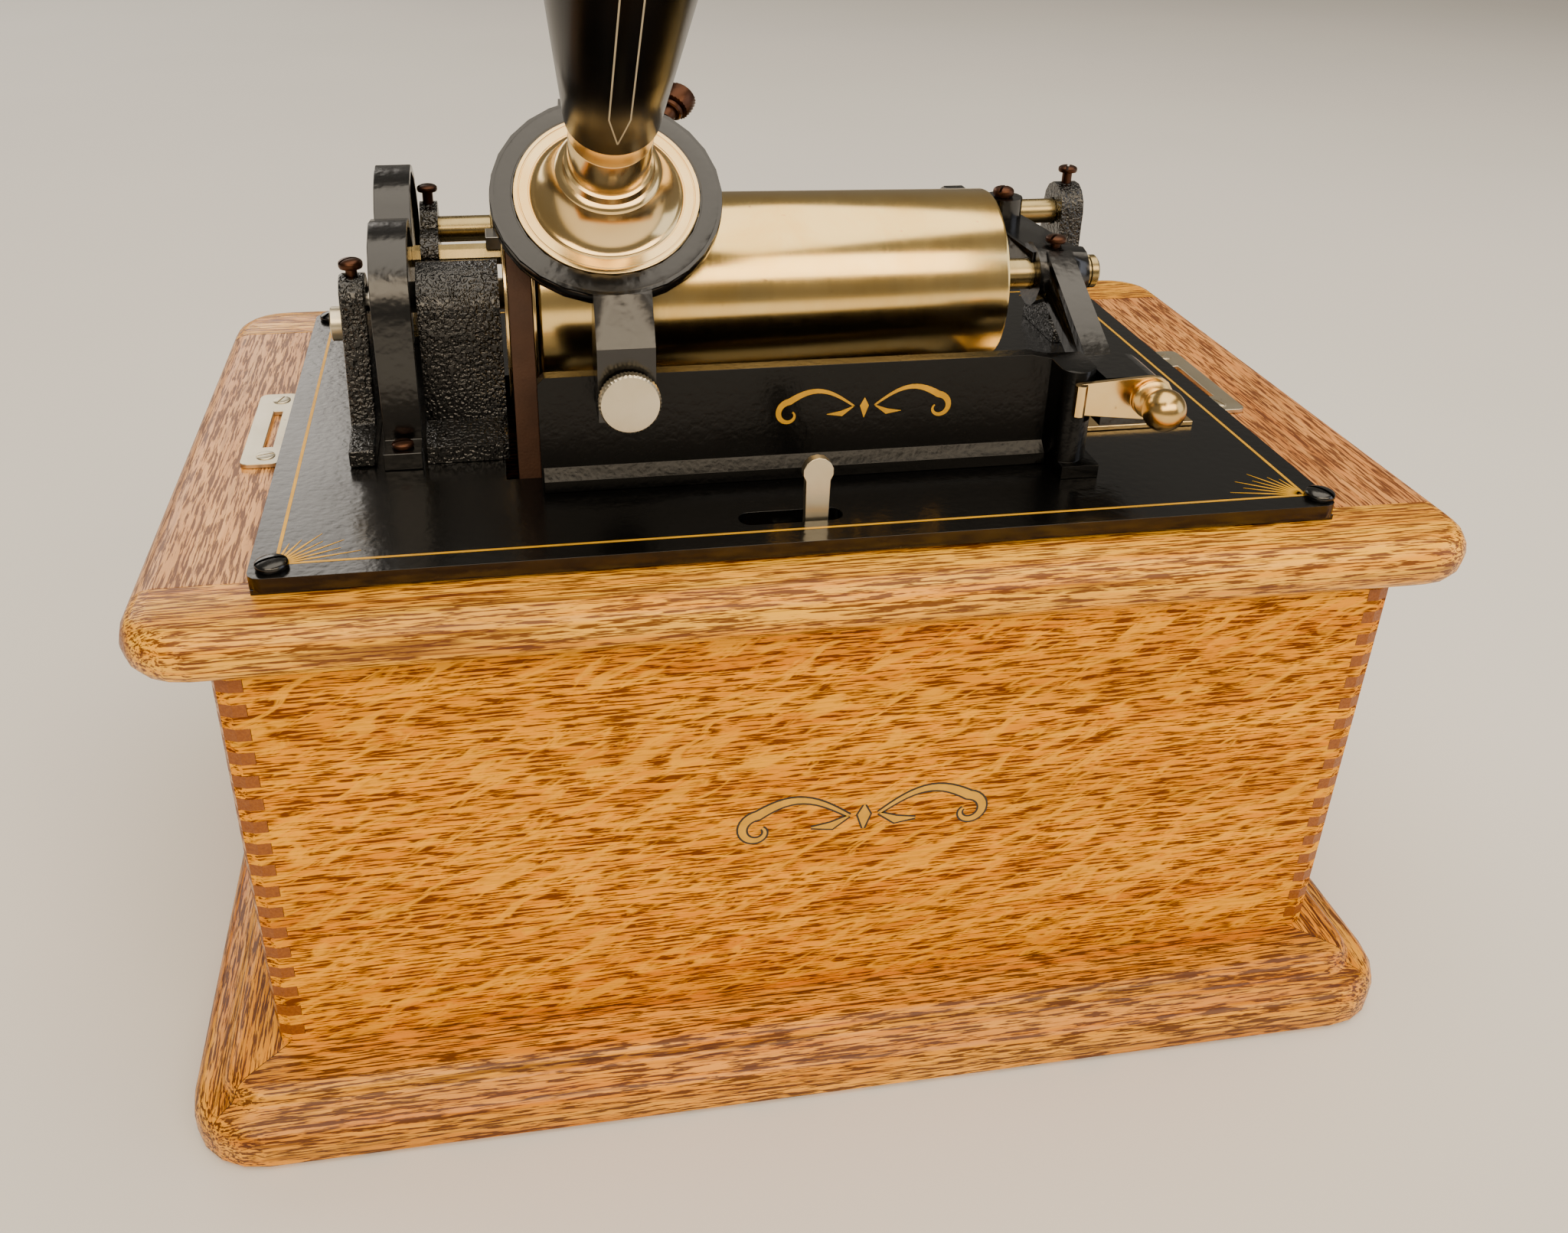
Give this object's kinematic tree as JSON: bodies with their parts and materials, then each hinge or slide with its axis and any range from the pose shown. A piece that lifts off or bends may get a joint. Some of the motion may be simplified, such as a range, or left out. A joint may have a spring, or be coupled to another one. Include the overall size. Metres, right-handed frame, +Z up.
{
  "type": "cylinder phonograph",
  "caption": "Open-works spring-driven cylinder phonograph in an oak case: bare tapered mandrel, geared feed screw, sliding reproducer arm with a tall black horn, end gate and start lever",
  "frame": {"origin": "under the middle of the case, on the plane the base stands on", "axes": "+X to the machine's right as its front is seen, +Y to the back where the top is hinged, +Z up"},
  "size_m": [0.306, 0.4482, 0.5427],
  "materials": {
    "oak_case": "varnished quartersawn oak",
    "oak_side": "varnished plain-sawn oak",
    "oak_top": "varnished oak, slightly faded",
    "oak_base": "dark varnished oak moulding",
    "black_japan": "glossy black japan over iron castings",
    "black_enamel": "gloss black enamel",
    "nickel": "old nickel plate, a little yellowed",
    "steel": "turned steel",
    "brass": "brass, some of its nickel worn off",
    "copper_screw": "oxidised copper-brown screws",
    "leather": "brown flat belt"
  },
  "bodies": {
    "case": {"base_moulding": "oak_base", "bottom_board": "oak_side", "case_front": "oak_case", "case_back": "oak_case", "case_left": "oak_side", "case_right": "oak_side", "case_hinge_left": "brass", "case_hinge_right": "brass", "crank_escutcheon": "nickel"},
    "top": {"top_front_rail": "oak_top", "top_back_rail": "oak_top", "top_left_board": "oak_top", "top_right_board": "oak_top", "top_hinge_left": "brass", "top_hinge_right": "brass", "bedplate": "black_japan", "bearing_housing": "black_japan", "end_pedestal": "black_japan", "pedestal_cap": "nickel", "pedestal_screw": "copper_screw", "gear_cover": "black_japan", "cover_screw": "copper_screw", "front_rail": "black_japan", "back_post_left": "black_japan", "back_post_right": "black_japan", "back_rod": "brass", "gate_post": "black_japan", "gate_pivot_screw": "copper_screw", "post_screw_left": "copper_screw", "post_screw_right": "copper_screw", "lid_catch_left": "nickel", "lid_catch_right": "nickel", "blank_plate": "nickel", "motor_frame": "black_japan", "belt": "leather"},
    "mandrel": {"mandrel": "nickel", "mandrel_arbor": "steel", "mandrel_pulley": "nickel"},
    "feed": {"feed_screw": "nickel"},
    "barrel": {"spring_barrel": "steel", "mainspring": "steel"},
    "winding": {"winding_shaft": "steel"},
    "second": {"second_arbor": "brass"},
    "drive": {"drive_arbor": "brass", "motor_pulley": "steel"},
    "governor": {"governor": "brass"},
    "carriage": {"carriage_sleeve": "brass"},
    "arm": {"reproducer_arm": "black_japan", "half_nut": "steel"},
    "lift_knob": {"lift_knob": "nickel"},
    "clamp": {"clamp_screw": "copper_screw"},
    "reproducer": {"reproducer": "nickel", "horn": "black_enamel"},
    "weight": {"stylus_weight": "brass"},
    "gate": {"gate": "black_japan", "gate_pin": "nickel", "gate_set_screw": "copper_screw"},
    "latch": {"latch": "nickel", "latch_ball": "brass"},
    "lever": {"start_lever": "nickel"}
  },
  "joints": [
    {"name": "top_hinge", "type": "hinge", "parent": "case", "child": "top", "pos_m": [0, 0.09015, 0.1211], "axis": [-1, 0, 0], "range_deg": [0, 75]},
    {"name": "mandrel_spin", "type": "hinge", "parent": "top", "child": "mandrel", "pos_m": [-0.0613, -0.0056, 0.17436], "axis": [1, 0, 0], "continuous": true},
    {"name": "feed_spin", "type": "hinge", "parent": "top", "child": "feed", "pos_m": [-0.0994, 0.03, 0.17366], "axis": [1, 0, 0], "continuous": true},
    {"name": "drive_spin", "type": "hinge", "parent": "top", "child": "drive", "pos_m": [-0.0653, -0.0152, 0.09565], "axis": [1, 0, 0], "continuous": true},
    {"name": "second_spin", "type": "hinge", "parent": "top", "child": "second", "pos_m": [0.024, -0.00241, 0.06523], "axis": [1, 0, 0], "continuous": true},
    {"name": "barrel_spin", "type": "hinge", "parent": "top", "child": "barrel", "pos_m": [-0.045, 0.036, 0.072], "axis": [1, 0, 0], "continuous": true},
    {"name": "governor_spin", "type": "hinge", "parent": "top", "child": "governor", "pos_m": [0, -0.03617, 0.08203], "axis": [1, 0, 0], "continuous": true},
    {"name": "winding_spin", "type": "hinge", "parent": "top", "child": "winding", "pos_m": [-0.05, 0.036, 0.072], "axis": [1, 0, 0], "continuous": true},
    {"name": "carriage_slide", "type": "slide", "parent": "top", "child": "carriage", "axis": [1, 0, 0], "range_m": [-0.006, 0.09]},
    {"name": "arm_lift", "type": "hinge", "parent": "carriage", "child": "arm", "pos_m": [-0.071, 0.042, 0.17736], "axis": [-1, 0, 0], "range_deg": [0, 30]},
    {"name": "lift_knob_turn", "type": "hinge", "parent": "arm", "child": "lift_knob", "pos_m": [-0.04344, -0.0575, 0.16676], "axis": [0, -1, 0], "range_deg": [-90, 90]},
    {"name": "clamp_turn", "type": "hinge", "parent": "arm", "child": "clamp", "pos_m": [-0.02974, -0.01515, 0.21773], "axis": [0.5807, 0.6144, 0.5341], "range_deg": [0, 330]},
    {"name": "reproducer_swivel", "type": "hinge", "parent": "arm", "child": "reproducer", "pos_m": [-0.0449, -0.0325, 0.2053], "axis": [0, -0.6561, 0.7547], "range_deg": [-20, 20]},
    {"name": "weight_float", "type": "hinge", "parent": "reproducer", "child": "weight", "pos_m": [-0.0449, -0.01631, 0.21183], "axis": [1, 0, 0], "range_deg": [0, 4]},
    {"name": "gate_swing", "type": "hinge", "parent": "top", "child": "gate", "pos_m": [0.07, 0.027, 0.17096], "axis": [0, 0, 1], "range_deg": [0, 80]},
    {"name": "latch_turn", "type": "hinge", "parent": "gate", "child": "latch", "pos_m": [0.079, -0.057, 0.16056], "axis": [0, -1, 0], "range_deg": [0, 90]},
    {"name": "start_lever", "type": "hinge", "parent": "top", "child": "lever", "pos_m": [-0.003, -0.06945, 0.11866], "axis": [0, -1, 0], "range_deg": [0, 28]}
  ],
  "couplings": [
    {"joint": "feed_spin", "follows": "mandrel_spin", "ratio": -0.75},
    {"joint": "drive_spin", "follows": "mandrel_spin", "ratio": 1.6358},
    {"joint": "second_spin", "follows": "mandrel_spin", "ratio": -0.3635},
    {"joint": "barrel_spin", "follows": "mandrel_spin", "ratio": 0.066091},
    {"joint": "governor_spin", "follows": "mandrel_spin", "ratio": -6.5431}
  ]
}
